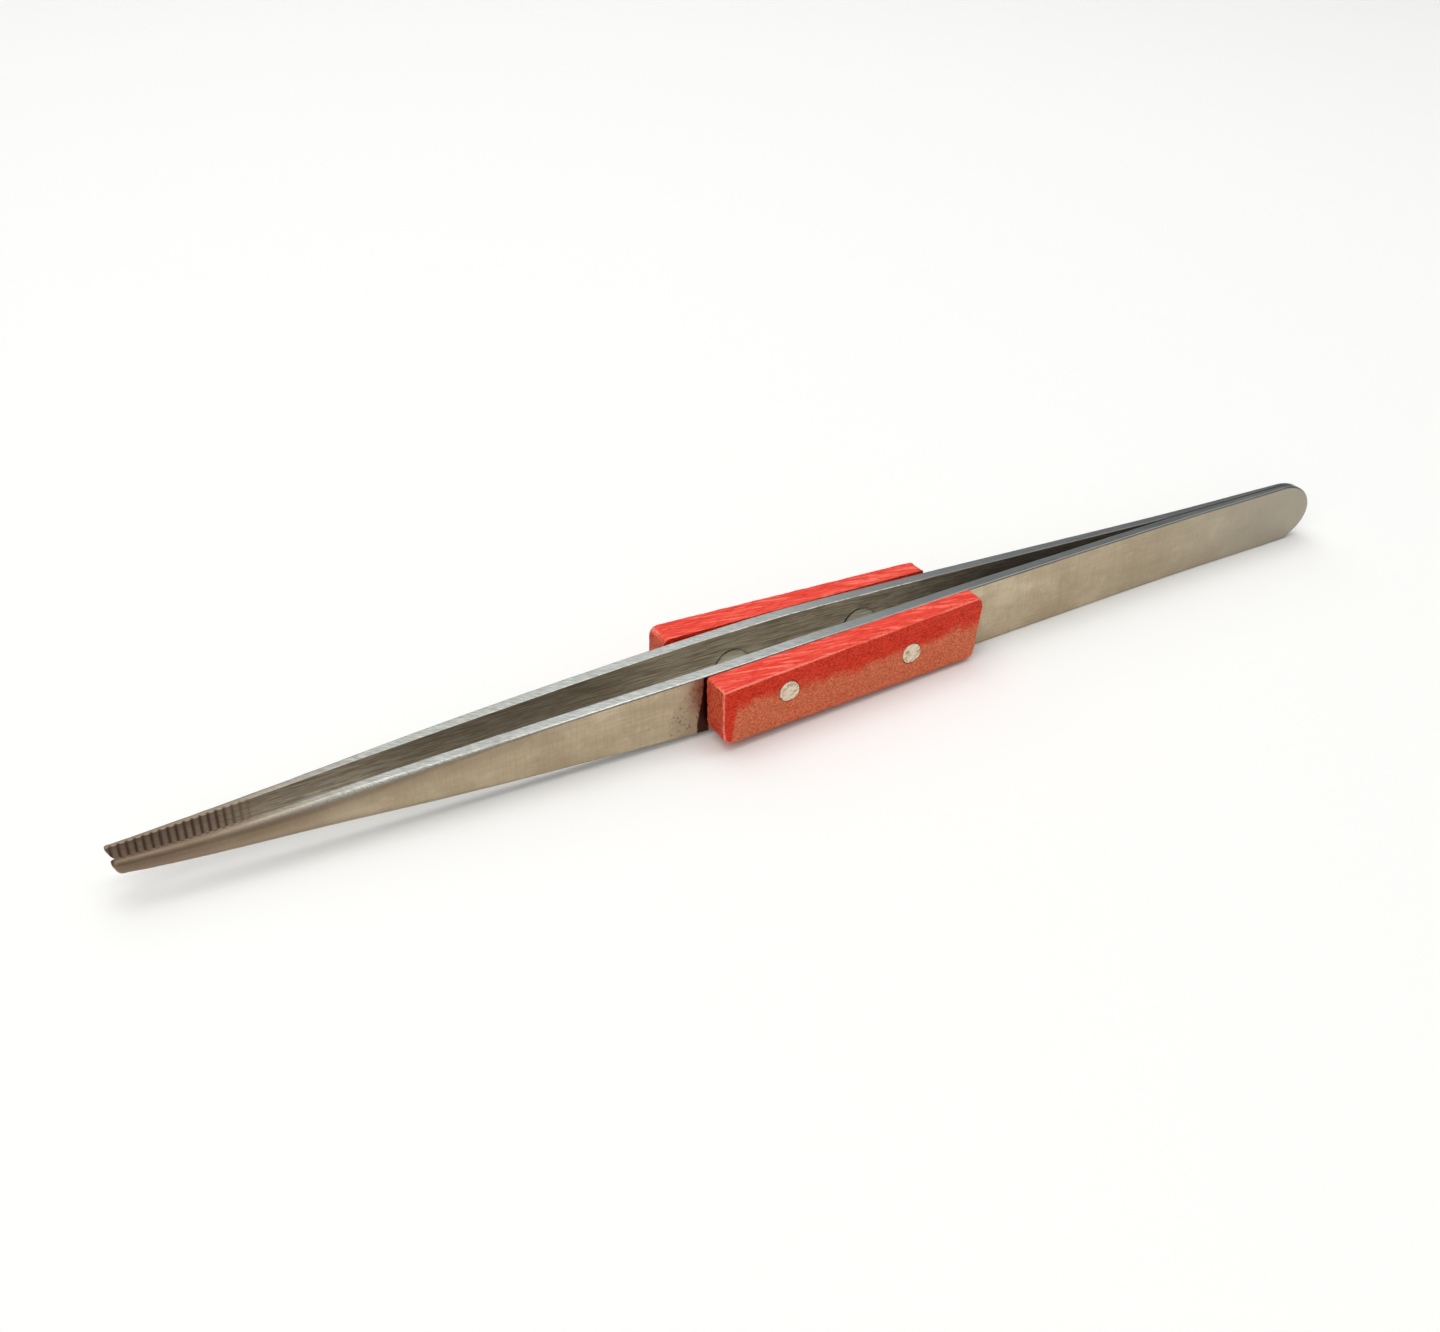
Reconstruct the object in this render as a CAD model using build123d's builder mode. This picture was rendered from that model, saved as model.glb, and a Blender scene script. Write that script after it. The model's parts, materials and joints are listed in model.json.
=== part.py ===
from build123d import *
from math import atan2, degrees
import os

os.makedirs("parts", exist_ok=True)

# Straight, non-locking soldering tweezers with two riveted fibre grips, in millimetres.
# X runs from the tips (-) to the welded heel (+), Y is the direction in which the blades open, and Z is
# across the blades. The tweezers lie on the lower edges of the blades, at Z = 0, with the origin under the
# middle of their length. "left" is the -Y side and "right" is the +Y side.

# --- blades: strips of spring steel -------------------------------------------------------------------
length = 165.0
tip_x = -length / 2
heel_x = length / 2

blade_width = 8.7            # across the blades where they are widest, under the grips
heel_width = 8.4             # across the rounded heel; the lower edge is level, and the upper one drops
mid_z = blade_width / 2
widest_from_x = 3.0          # the edges of a blade are parallel between these two
widest_to_x = 22.0

weld_x = 57.5                # the blades are welded together from here to the heel, and bend from here on
blade_gap_at_weld = 0.02
bend_seam = 0.03             # clearance on the bending line, between a blade and its welded heel

# Inner and outer faces of a blade, as distances from the middle plane.
inner_curve = [
    (tip_x, 1.00), (-75.0, 1.40), (-60.0, 1.76), (-40.0, 2.15), (-20.0, 2.54),
    (-8.0, 2.62), (6.0, 2.26), (24.0, 1.50), (42.0, 0.68), (weld_x, blade_gap_at_weld),
]
outer_curve = [
    (tip_x, 1.86), (-70.0, 2.84), (-52.0, 3.52), (-28.0, 4.02), (-8.0, 4.26),
    (6.0, 3.90), (24.0, 2.98), (42.0, 2.04), (weld_x, 1.28),
]
heel_end_thickness = 0.70

# How far a blade's edges are above and below its middle, from the slanting nose to the widest stretch.
tip_above = 0.72
tip_below = 0.94
nose_overhang = 0.45         # the upper corner of the nose before rounding, from the tip
nose_slant = 1.00            # the lower corner, from the tip
nose_top_round = 0.36
nose_bottom_round = 0.50
taper_from = 1.60            # the edges start to spread this far from the tip
heel_top_run = 5.6           # length of the heel's curve above and below its middle
heel_bottom_run = 4.3
quarter_turn = 90
taper_above = [(-76.0, 0.80), (-69.0, 1.10), (-58.0, 1.80), (-40.0, 2.78), (-20.0, 3.68), (-8.0, 4.12)]
taper_below = [(-76.0, 1.20), (-69.0, 1.57), (-58.0, 2.19), (-40.0, 2.96), (-20.0, 3.71), (-8.0, 4.12)]

outer_edge_round = 0.30      # the inner edges stay sharp

# --- serrations across the inner faces of the jaws ----------------------------------------------------
tooth_pitch = 0.85
tooth_count = 17
first_tooth_x = tip_x + 1.4
groove_width = 0.48
groove_depth = 0.16
groove_overrun = 0.30        # how far the cutter stands out of the inner face

# --- grips: flat strips of vulcanised fibre that thin and widen towards the heel ----------------------
grip_centre_x = {"left": 3.5, "right": 1.6}
grip_length = {"left": 38.4, "right": 36.3}
grip_seat_x = 3.3            # where the flat back of a grip meets the bowed blade
grip_back_y = 4.02           # back face there, from the middle plane
grip_back_slope = -0.038
grip_thickness = 3.20        # there
grip_front_slope = -0.074
grip_rise = 0.35             # the grips sit this much above the middle of the blades
grip_width_tip = 7.4
grip_width_heel = 8.5
grip_heel_rake = 1.2         # the heel end is cut askew, shorter at the bottom
grip_edge_round = 0.35
grip_top_corner = 0.5
grip_bottom_corner = 1.1

# --- rivets: a countersunk head in the blade's inner face, the shank filed flush with the grip --------
rivet_radius = 1.35
rivet_head_radius = 2.4
rivet_head_depth = 1.0
rivet_blank = 9.0            # before its end is filed flush
rivet_play = 0.02            # round the rivet in its hole
rivet_spacing = 17.9
rivet_middle_x = {"left": 2.3, "right": 0.7}
rivet_rise = {
    ("left", "tip"): 1.1, ("left", "heel"): 0.1,
    ("right", "tip"): -1.0, ("right", "heel"): -0.1,
}

side_sign = {"left": -1, "right": 1}
end_sign = {"tip": -1, "heel": 1}
across_y = 12.0              # longer than any piece reaches from the middle plane
side_view = Plane(origin=(0, 0, mid_z), x_dir=(1, 0, 0), z_dir=(0, -1, 0))
blade_outer_line = Spline(*outer_curve)
blade_inner_line = Spline(*inner_curve)


def point_at_x(line, x):
    """Place along a line, from 0 to 1, where it passes the given x."""
    low, high = 0.0, 1.0
    for _ in range(40):
        middle = (low + high) / 2
        if (line @ middle).X < x:
            low = middle
        else:
            high = middle
    return low


def rivet_plane(side, end):
    """Plane in a blade's inner face at a rivet, whose normal points towards the middle plane."""
    x = rivet_middle_x[side] + end_sign[end] * rivet_spacing / 2
    place = point_at_x(blade_inner_line, x)
    along = blade_inner_line % place
    sign = side_sign[side]
    return Plane(
        origin=(x, sign * (blade_inner_line @ place).Y, mid_z + rivet_rise[side, end]),
        x_dir=(0, 0, 1),
        z_dir=(along.Y, -sign * along.X, 0),
    )


def grip_plane(side, y_at_seat, slope):
    """Plane of a grip's back or front face, whose normal points away from the middle plane."""
    sign = side_sign[side]
    return Plane(
        origin=(grip_seat_x, sign * y_at_seat, mid_z),
        x_dir=(0, 0, 1),
        z_dir=(-slope, sign, 0),
    )


def blade_outline():
    """The blade seen from its side: slanting nose, taper, widest stretch and rounded heel."""
    above = [(tip_x + taper_from, tip_above)] + taper_above + [(widest_from_x, mid_z)]
    below = [(tip_x + taper_from, tip_below)] + taper_below + [(widest_from_x, mid_z)]
    heel_half = heel_width / 2
    heel_middle = heel_half - mid_z
    with BuildSketch(side_view) as outline:
        with BuildLine():
            top = Spline(*above, tangents=[(1, 0), (1, 0)])
            Polyline(top @ 1, (widest_to_x, mid_z), (heel_x - heel_top_run, heel_middle + heel_half))
            for run, start in ((heel_top_run, 0), (heel_bottom_run, -quarter_turn)):
                EllipticalCenterArc(
                    (heel_x - run, heel_middle), run, heel_half, start_angle=start, arc_size=quarter_turn)
            Line((heel_x - heel_bottom_run, -mid_z), (widest_from_x, -mid_z))
            bottom = Spline(*[(x, -z) for x, z in below], tangents=[(1, 0), (1, 0)])
            Polyline(
                top @ 0,
                (tip_x - nose_overhang, tip_above),
                (tip_x + nose_slant, -tip_below),
                bottom @ 0,
            )
        make_face()
        top_corner, bottom_corner = outline.vertices().sort_by(Axis.X)[:2]
        fillet(top_corner, radius=nose_top_round)
        fillet(bottom_corner, radius=nose_bottom_round)
    return outline.sketch


def outer_edges(blade, sign):
    """Edges round a blade's outer face, but not the one on the bending line."""
    broad_faces = blade.faces().sort_by(SortBy.AREA)[-2:]
    outer_face = broad_faces.sort_by(Axis.Y, reverse=sign < 0)[-1]
    return [edge for edge in outer_face.edges() if abs(edge.center().X - weld_x) > bend_seam * 2]


def grooves(sign):
    """Sections of the grooves across a jaw, in the XY plane."""
    with BuildSketch() as section:
        for index in range(tooth_count):
            x = first_tooth_x + index * tooth_pitch
            face_y = (blade_inner_line @ point_at_x(blade_inner_line, x)).Y
            mouth_y = sign * (face_y - groove_overrun)
            half_mouth = groove_width / 2 * (1 + groove_overrun / groove_depth)
            bottom = (x, sign * (face_y + groove_depth))
            with BuildLine():
                Polyline((x - half_mouth, mouth_y), bottom, (x + half_mouth, mouth_y), close=True)
            make_face()
    return section.sketch


def grip_outline(side):
    """The grip seen from its side: it widens towards the heel, and its lower corners are the rounder."""
    tip_end = grip_centre_x[side] - grip_length[side] / 2
    heel_end = grip_centre_x[side] + grip_length[side] / 2
    with BuildSketch(side_view) as outline:
        with BuildLine():
            Polyline(
                (tip_end, grip_rise + grip_width_tip / 2),
                (heel_end, grip_rise + grip_width_heel / 2),
                (heel_end - grip_heel_rake, grip_rise - grip_width_heel / 2),
                (tip_end, grip_rise - grip_width_tip / 2),
                close=True,
            )
        make_face()
        bottom_corners = outline.vertices().sort_by(Axis.Z)[:2]
        top_corners = outline.vertices().sort_by(Axis.Z)[2:]
        fillet(bottom_corners, radius=grip_bottom_corner)
        fillet(top_corners, radius=grip_top_corner)
    return outline.sketch


for side, sign in side_sign.items():
    # Front length of the blade, from the tip to the line where it starts to bend.
    with BuildPart() as blade:
        with BuildSketch():
            with BuildLine():
                inner = Spline(*[(x, sign * y) for x, y in inner_curve])
                outer = Spline(*[(x, sign * y) for x, y in outer_curve])
                Line(inner @ 0, outer @ 0)
                Line(inner @ 1, outer @ 1)
            make_face()
        extrude(amount=blade_width)
        extrude(blade_outline(), amount=across_y, both=True, mode=Mode.INTERSECT)
        fillet(outer_edges(blade, sign), radius=outer_edge_round)
        extrude(grooves(sign), amount=blade_width, mode=Mode.SUBTRACT)
        for end in end_sign:
            with Locations(rivet_plane(side, end)):
                CounterSinkHole(
                    radius=rivet_radius + rivet_play,
                    counter_sink_radius=rivet_head_radius + rivet_play,
                    depth=across_y,
                    counter_sink_angle=2 * degrees(
                        atan2(rivet_head_radius - rivet_radius, rivet_head_depth)),
                )
    blade.part.label = f"{side}_blade"
    export_step(blade.part, f"parts/{side}_blade.step")

    # Heel length of the same blade, behind the bending line and welded to the other one.
    with BuildPart() as heel:
        with BuildSketch():
            with BuildLine():
                Polyline(
                    (weld_x + bend_seam, 0),
                    (heel_x, 0),
                    (heel_x, sign * heel_end_thickness),
                    (weld_x + bend_seam, sign * outer_curve[-1][1]),
                    close=True,
                )
            make_face()
        extrude(amount=blade_width)
        extrude(blade_outline(), amount=across_y, both=True, mode=Mode.INTERSECT)
        fillet(outer_edges(heel, sign), radius=outer_edge_round)
    heel.part.label = f"{side}_blade_heel"
    export_step(heel.part, f"parts/{side}_blade_heel.step")

    # Fibre grip: the side outline, cut off by its back and front faces.
    back = grip_plane(side, grip_back_y, grip_back_slope)
    front = grip_plane(side, grip_back_y + grip_thickness, grip_front_slope)
    with BuildPart() as grip:
        extrude(grip_outline(side), amount=-sign * across_y)
        split(bisect_by=back, keep=Keep.TOP)
        split(bisect_by=front, keep=Keep.BOTTOM)
        fillet(grip.faces().sort_by(Axis.Y, reverse=sign < 0)[-1].edges(), radius=grip_edge_round)
        for end in end_sign:
            with Locations(rivet_plane(side, end)):
                Hole(radius=rivet_radius + rivet_play, depth=across_y)
    grip.part.label = f"{side}_grip"
    export_step(grip.part, f"parts/{side}_grip.step")

    # Rivets: turned about their axis, then filed flush with the front of the grip.
    for end in end_sign:
        head_plane = rivet_plane(side, end)
        axis_plane = Plane(
            origin=head_plane.origin,
            x_dir=(0, 0, 1),
            z_dir=head_plane.z_dir.cross(Vector(0, 0, 1)),
        )
        with BuildPart() as rivet:
            with BuildSketch(axis_plane):
                with BuildLine():
                    Polyline(
                        (0, 0),
                        (rivet_head_radius, 0),
                        (rivet_radius, rivet_head_depth),
                        (rivet_radius, rivet_blank),
                        (0, rivet_blank),
                        close=True,
                    )
                make_face()
            revolve(axis=Axis(head_plane.origin, head_plane.z_dir))
            split(bisect_by=front, keep=Keep.BOTTOM)
        rivet.part.label = f"{side}_{end}_rivet"
        export_step(rivet.part, f"parts/{side}_{end}_rivet.step")
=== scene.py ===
"""Looks of the fibre-grip soldering tweezers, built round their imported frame. Lengths here are in mm."""
import json
import math

import bmesh
import bpy
import numpy as np
from mathutils import Matrix, Vector, geometry, noise


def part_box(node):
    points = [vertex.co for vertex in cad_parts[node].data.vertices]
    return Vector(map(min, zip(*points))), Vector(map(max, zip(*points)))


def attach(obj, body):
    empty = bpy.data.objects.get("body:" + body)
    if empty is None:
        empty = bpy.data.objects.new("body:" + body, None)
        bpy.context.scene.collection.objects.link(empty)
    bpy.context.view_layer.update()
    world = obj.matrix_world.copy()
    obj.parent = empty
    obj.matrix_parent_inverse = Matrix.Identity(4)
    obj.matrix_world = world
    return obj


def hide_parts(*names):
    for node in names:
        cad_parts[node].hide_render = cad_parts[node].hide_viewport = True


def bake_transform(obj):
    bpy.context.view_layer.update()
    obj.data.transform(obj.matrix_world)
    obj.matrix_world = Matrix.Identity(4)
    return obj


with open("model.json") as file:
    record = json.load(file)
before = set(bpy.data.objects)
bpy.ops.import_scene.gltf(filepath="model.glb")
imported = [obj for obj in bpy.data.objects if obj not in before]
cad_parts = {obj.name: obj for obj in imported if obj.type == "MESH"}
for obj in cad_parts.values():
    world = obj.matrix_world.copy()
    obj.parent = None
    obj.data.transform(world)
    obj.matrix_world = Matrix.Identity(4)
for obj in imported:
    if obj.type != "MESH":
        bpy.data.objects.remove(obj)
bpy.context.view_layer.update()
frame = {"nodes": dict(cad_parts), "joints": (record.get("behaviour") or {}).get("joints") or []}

MM = 0.001
SIDES = {"left": -1, "right": 1}        # which way each side lies from the middle plane, along Y
hinge = Vector(frame["joints"][0]["pos_m"]) / MM
MID_Z = hinge.z
WELD_X = hinge.x

# --- reading shapes from the frame ---------------------------------------------------------------------


def cad_edges(names):
    """The two ends of every edge of some CAD nodes, with Y as the distance from the middle plane."""
    ends = []
    for name in names:
        mesh = frame["nodes"][name].data
        co = np.array([v.co for v in mesh.vertices]) / MM
        co[:, 1] = np.abs(co[:, 1])
        ends.append(co[np.array([e.vertices[:] for e in mesh.edges])])
    return np.concatenate(ends)


def section(edges, x):
    """(Y, Z) of the places where edges cross the plane at x."""
    before = edges[:, 0, 0] - x
    after = edges[:, 1, 0] - x
    crossing = before * after < 0
    share = (before / (before - after + (before == after)))[crossing, None]
    return (edges[crossing, 0] * (1 - share) + edges[crossing, 1] * share)[:, 1:]


def smooth_fit(xs, values, degree):
    """A smooth curve through measured values, as a function of x."""
    return np.polynomial.Chebyshev.fit(xs, values, degree)


# --- building shells -----------------------------------------------------------------------------------
ROUNDING_STEPS = 9
WALL_STEPS = 6
SUPPORT = 0.05             # width of the flat strip kept beside a rounded edge
MERGE = 1e-4


def shell(name, sign, upper, lower, spine, front, back, front_round, back_round, face_steps):
    """A closed mesh between a front and a back face, with rounded rims all the way round its outline.
    upper and lower run from the tip to the heel, and spine holds the middle line's points beside them.
    A rounding is how far it reaches over the face and how far down the rim."""
    loop = np.concatenate([upper, lower[-2:0:-1]])
    middle = np.concatenate([spine, spine[-2:0:-1]])
    inward = (middle - loop) / np.linalg.norm(middle - loop, axis=1)[:, None]
    outer, inner = (
        np.column_stack([np.concatenate([reach, reach[-2:0:-1]]) for reach in rounding])
        for rounding in (front_round, back_round))
    rings = []

    def face_rings(surface, rounding, shares):
        target = loop + inward * (rounding[:, :1] + SUPPORT)
        for share in shares:
            place = middle + (target - middle) * share
            rings.append(np.column_stack([place[:, 0], surface(place[:, 0], place[:, 1]), place[:, 1]]))

    def rim_rings(surface, rounding, angles, into):
        for angle in angles:
            place = loop + inward * rounding[:, :1] * (1 - math.cos(angle))
            drop = rounding[:, 1] * (1 - math.sin(angle))
            depth = surface(place[:, 0], place[:, 1]) + into * drop
            rings.append(np.column_stack([place[:, 0], depth, place[:, 1]]))

    shares = np.linspace(0, 1, face_steps + 1)
    angles = np.linspace(math.pi / 2, 0, ROUNDING_STEPS + 1)
    face_rings(front, outer, shares)
    rim_rings(front, outer, angles, -1)
    top = rings[-1]
    bottom_y = back(loop[:, 0], loop[:, 1]) + inner[:, 1]
    for share in np.linspace(0, 1, WALL_STEPS + 1)[1:-1]:
        wall = top.copy()
        wall[:, 1] = top[:, 1] + (bottom_y - top[:, 1]) * share
        rings.append(wall)
    rim_rings(back, inner, angles[::-1], 1)
    face_rings(back, inner, shares[::-1])

    mesh = bmesh.new()
    rows = [[mesh.verts.new((x, y * sign, z + MID_Z)) for x, y, z in ring] for ring in rings]
    count = len(loop)
    for near, far in zip(rows, rows[1:]):
        for i in range(count):
            j = (i + 1) % count
            mesh.faces.new((near[i], near[j], far[j], far[i]))
    bmesh.ops.remove_doubles(mesh, verts=mesh.verts, dist=MERGE)
    bmesh.ops.dissolve_degenerate(mesh, edges=mesh.edges, dist=MERGE)
    bmesh.ops.recalc_face_normals(mesh, faces=mesh.faces)
    return to_object(name, mesh)


def lathe(name, origin, axis, profile, segments):
    """A closed turned mesh: profile holds (radius, distance along the axis) from one end to the other."""
    turn = axis.to_track_quat("Z", "Y").to_matrix()
    mesh = bmesh.new()
    rows = []
    for radius, along in profile:
        if radius == 0:
            rows.append([mesh.verts.new(origin + turn @ Vector((0, 0, along)))] * segments)
            continue
        angles = [2 * math.pi * i / segments for i in range(segments)]
        rows.append([
            mesh.verts.new(origin + turn @ Vector((radius * math.cos(a), radius * math.sin(a), along)))
            for a in angles
        ])
    for near, far in zip(rows, rows[1:]):
        for i in range(segments):
            j = (i + 1) % segments
            corners = list(dict.fromkeys((near[i], near[j], far[j], far[i])))
            mesh.faces.new(corners)
    bmesh.ops.recalc_face_normals(mesh, faces=mesh.faces)
    return to_object(name, mesh)


def to_object(name, mesh):
    """A bmesh built in mm becomes an object in metres."""
    bmesh.ops.scale(mesh, vec=(MM, MM, MM), verts=mesh.verts)
    data = bpy.data.meshes.new(name)
    mesh.to_mesh(data)
    mesh.free()
    piece = bpy.data.objects.new(name, data)
    bpy.context.scene.collection.objects.link(piece)
    return piece


def cut(piece, cutters):
    """Takes cutters out of a piece, and removes them."""
    for cutter in cutters:
        modifier = piece.modifiers.new("cut", "BOOLEAN")
        modifier.operation = "DIFFERENCE"
        modifier.solver = "EXACT"
        modifier.object = cutter
    bpy.context.view_layer.update()
    seen = piece.evaluated_get(bpy.context.evaluated_depsgraph_get())
    data = bpy.data.meshes.new_from_object(seen)
    piece.modifiers.clear()
    piece.data = data
    for cutter in cutters:
        bpy.data.objects.remove(cutter)


def shade(piece, sharp_degrees):
    """Smooth shading, broken where faces meet at more than an angle."""
    piece.data.polygons.foreach_set("use_smooth", [True] * len(piece.data.polygons))
    piece.data.set_sharp_from_angle(angle=math.radians(sharp_degrees))


def mark(piece, name, measure):
    """Stores a number at each vertex of a piece, worked out from its place in mm."""
    attribute = piece.data.attributes.new(name, "FLOAT", "POINT")
    attribute.data.foreach_set("value", [measure(v.co / MM) for v in piece.data.vertices])


# --- rivets: where they are, read from the frame -------------------------------------------------------
RIVET_SEGMENTS = 64
HEAD_RADIUS = 2.33
SHANK_RADIUS = 1.33
HEAD_DEPTH = 0.95
HOLE_GAP = 0.07             # ring left open round a rivet's shank
HEAD_GAP = 0.11             # and round its head
NEAR_RIM = 0.3              # how close to its widest or furthest place counts as a rivet's head or tail


def rivet_axis(side, end):
    """Middle of the rivet's head, the axis outwards from it, and its length."""
    co = np.array([v.co for v in frame["nodes"][f"{side}_{end}_rivet"].data.vertices]) / MM
    middle = co.mean(0)
    reach = np.hypot(co[:, 0] - middle[0], co[:, 2] - middle[2])
    head = co[reach > reach.max() - NEAR_RIM].mean(0)
    far = np.abs(co[:, 1])
    tail = co[far > far.max() - NEAR_RIM].mean(0)
    head, tail = Vector(head), Vector(tail)
    return head, (tail - head).normalized(), (tail - head).length


# --- blades --------------------------------------------------------------------------------------------
GROOVE_PITCH = 0.85
GROOVE_COUNT = 18
GROOVE_FIRST = 0.55         # from the tip
GROOVE_HALF = 0.24
GROOVE_DEPTH = 0.15
GROOVE_SHADE_HALF = 0.34         # half width of the painted shade along a groove
GROOVE_SHALLOW = 0.45       # grooves get shallower this near the jaw's edges
GROOVE_FADE = 4             # the last grooves get shallower
GROOVE_AT_EDGE = 0.25       # share of its depth that a groove keeps at the jaw's edges
GROOVE_WALL = 0.25          # how far the painted groove shade reaches outwards from the inner face
STEPS_PER_GROOVE = 10
STATION = 1.3               # distance between points along the blade behind the jaws
SAMPLE_STEP = 1.5           # distance between the places where the CAD blade is measured
WIDEST_FROM = 3.0           # the blade's edges are parallel between these two
WIDEST_TO = 22.0
BLADE_FACE_STEPS = 5
BLADE_SHARP = 38            # degrees
NOSE_STEPS = 12
NOSE_OVERHANG = 0.09        # upper corner of the slanting nose before rounding, from the tip
NOSE_SLANT = 0.62           # lower corner, from the tip
NOSE_TOP_CUT = {"left": 0.80, "right": 0.34}      # how far the corners are cut back
NOSE_LOW_CUT = 0.60
NOSE_LENGTH = 1.5
EDGE_WEAR = 0.012
INNER_ROUND = (0.05, 0.09)      # rounding of the inner edges at the tip, and behind the jaws
ROUND_UNEVENNESS = 0.06
JAW_SAG_X = [0, 4, 10, 22]      # the lower edge hangs a little lower here, in distances from the tip
JAW_SAG = [0.04, 0.16, 0.14, 0.0]
JAW_ROUND_X = [0, 6.5, 13.5, 20, 26, 34, 42, 48]      # distances from the tip
JAW_ROUND = (
    [0.52, 0.62, 0.92, 1.25, 1.30, 0.90, 0.45, 0.26],      # over the outer face
    [0.55, 0.66, 0.80, 0.85, 0.75, 0.50, 0.32, 0.26],      # down the edge
)
HEEL_STEPS = 30
HEEL_TOP_RUN = 5.6          # length of the heel's curve above and below its middle
HEEL_BOTTOM_RUN = 5.4


def rounded_corner(start, corner, end, cut_back):
    """Path from start to end that turns the corner along a curve, in NOSE_STEPS points a stretch."""
    start, corner, end = (np.array(p, float) for p in (start, corner, end))
    first = corner + (start - corner) / np.linalg.norm(start - corner) * cut_back
    last = corner + (end - corner) / np.linalg.norm(end - corner) * cut_back
    share = np.linspace(0, 1, NOSE_STEPS + 1)[:, None]
    curve = first * (1 - share) ** 2 + 2 * corner * share * (1 - share) + last * share ** 2
    return np.concatenate([start + (first - start) * share[:-1], curve, last + (end - last) * share[1:]])


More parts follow.
